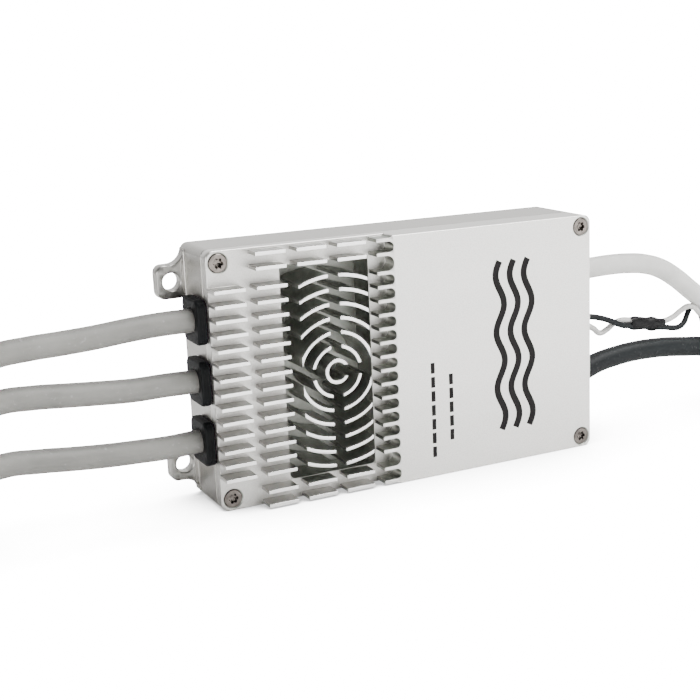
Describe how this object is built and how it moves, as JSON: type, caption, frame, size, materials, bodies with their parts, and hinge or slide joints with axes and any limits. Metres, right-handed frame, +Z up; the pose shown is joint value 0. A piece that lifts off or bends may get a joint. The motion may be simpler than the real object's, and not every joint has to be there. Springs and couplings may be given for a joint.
{
  "type": "electronic speed controller",
  "caption": "Finned aluminium motor speed controller with ears, rubber grommets, heavy phase and power leads and a signal pair.",
  "frame": {"origin": "middle of the case's long bottom edge face, on the surface it stands on", "axes": "+X along the case from the phase leads to the power leads, +Y from the label face to the back, +Z up across the case's width"},
  "size_m": [0.2539, 0.0361, 0.05],
  "materials": {
    "cover_aluminium": "machined, bead blasted",
    "base_aluminium": "machined, bead blasted",
    "screw_steel": "turned",
    "black_rubber": "moulded, matt",
    "pad_silicone": "soft, matt",
    "board_green": "solder mask",
    "chip_plastic": "moulded epoxy",
    "ceramic": "sintered, tinned ends",
    "can_aluminium": "drawn, sleeved",
    "tinned_metal": "tinned",
    "copper": "copper, tinned",
    "board_blue": "solder mask",
    "connector_plastic": "moulded",
    "gold_plate": "gold plated",
    "grey_silicone": "extruded silicone, matt",
    "light_silicone": "extruded silicone, matt",
    "black_silicone": "extruded silicone, matt",
    "white_pvc": "extruded",
    "black_pvc": "extruded",
    "heat_shrink": "shrunk tube"
  },
  "bodies": {
    "root": {"cover_shell": "cover_aluminium", "base_shell": "base_aluminium", "cover_screws_short": "screw_steel", "cover_screws_long": "screw_steel", "phase_grommets": "black_rubber", "power_grommets": "black_rubber", "signal_grommet": "black_rubber", "thermal_pad": "pad_silicone", "power_board": "board_green", "board_screws": "screw_steel", "mosfets": "chip_plastic", "gate_drivers": "chip_plastic", "current_shunts": "chip_plastic", "ceramic_capacitors": "ceramic", "capacitor_cans": "can_aluminium", "capacitor_bungs": "black_rubber", "capacitor_leads": "tinned_metal", "phase_terminals": "copper", "power_terminals": "copper", "phase_conductors": "copper", "power_conductors": "copper", "control_board": "board_blue", "header_housing": "connector_plastic", "header_pins": "gold_plate", "microcontroller": "chip_plastic", "crystal": "tinned_metal", "buck_regulator": "chip_plastic", "buck_inductor": "chip_plastic", "signal_solder": "tinned_metal", "phase_lead_a": "grey_silicone", "phase_lead_b": "grey_silicone", "phase_lead_c": "grey_silicone", "power_lead_positive": "light_silicone", "power_lead_negative": "black_silicone", "signal_wire_white": "white_pvc", "signal_wire_black": "black_pvc", "signal_sleeve": "heat_shrink", "bullet_a": "gold_plate", "bullet_b": "gold_plate", "bullet_c": "gold_plate", "bullet_sleeve_a": "heat_shrink", "bullet_sleeve_b": "heat_shrink", "bullet_sleeve_c": "heat_shrink", "bullet_positive": "gold_plate", "bullet_negative": "gold_plate", "bullet_sleeve_positive": "heat_shrink", "bullet_sleeve_negative": "heat_shrink", "signal_plug": "connector_plastic", "signal_contacts": "gold_plate"}
  },
  "joints": []
}
